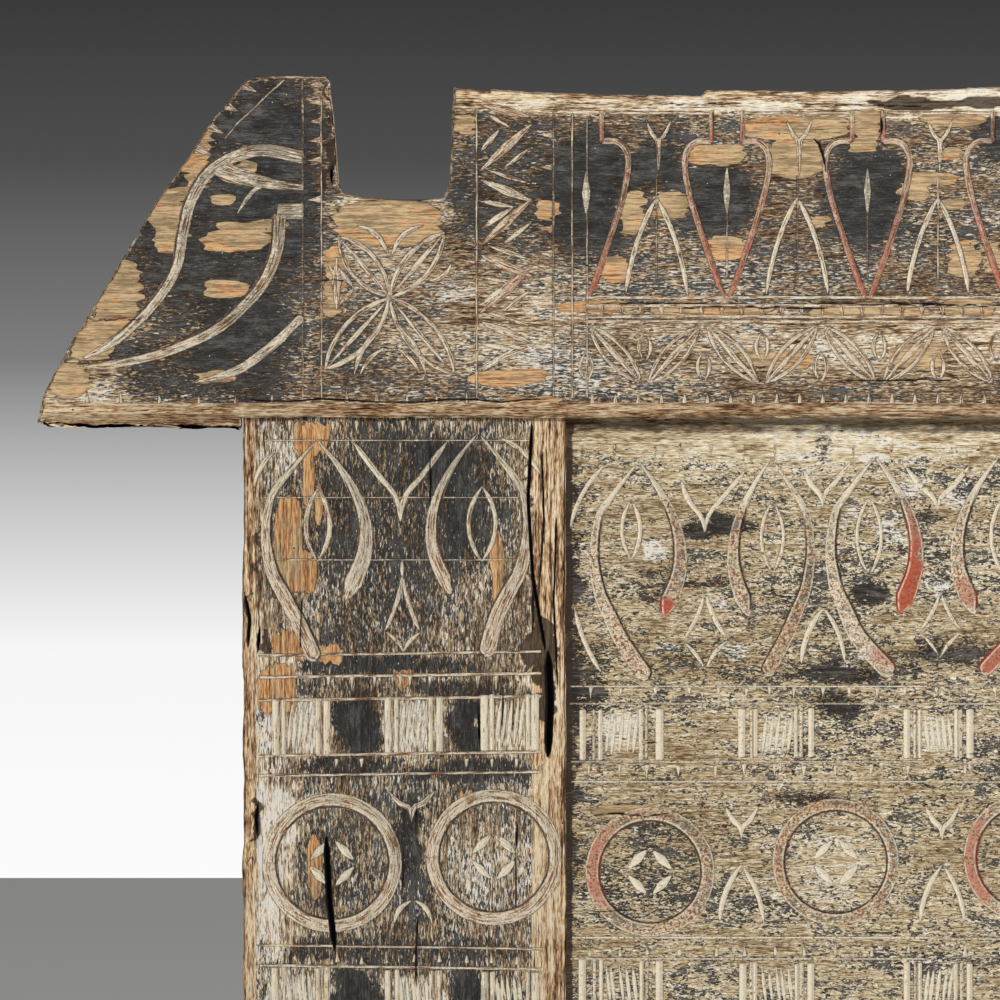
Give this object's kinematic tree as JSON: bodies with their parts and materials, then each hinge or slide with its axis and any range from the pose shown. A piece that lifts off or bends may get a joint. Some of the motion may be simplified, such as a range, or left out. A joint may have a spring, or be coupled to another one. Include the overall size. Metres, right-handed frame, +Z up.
{
  "type": "carved rice house panel",
  "caption": "Weathered wooden house-front panel: a horned, notched top board over two stiles and a thinner centre panel, gouge-carved with lotus buds, rings, squares and hanging vees.",
  "frame": {"origin": "on the flat back of the top board, at its middle, where the panel is fastened to the house front", "axes": "+X along the panel's length, +Z up, the carved side faces -Y and the flat backs face +Y"},
  "size_m": [1.802, 0.058, 1.224],
  "materials": {
    "charcoaled_wood": "old hardwood, soot-black paint worn through to tan wood, gouge cuts pale with lime and traces of red",
    "stile_wood": "upright grey-brown grain with black paint left in patches, split and beetle-eaten",
    "panel_wood": "weathered khaki wood with fine black specks of old paint, cuts cream and red"
  },
  "bodies": {
    "root": {"top_board": "charcoaled_wood", "left_stile": "stile_wood", "right_stile": "stile_wood", "centre_panel": "panel_wood"}
  },
  "joints": []
}
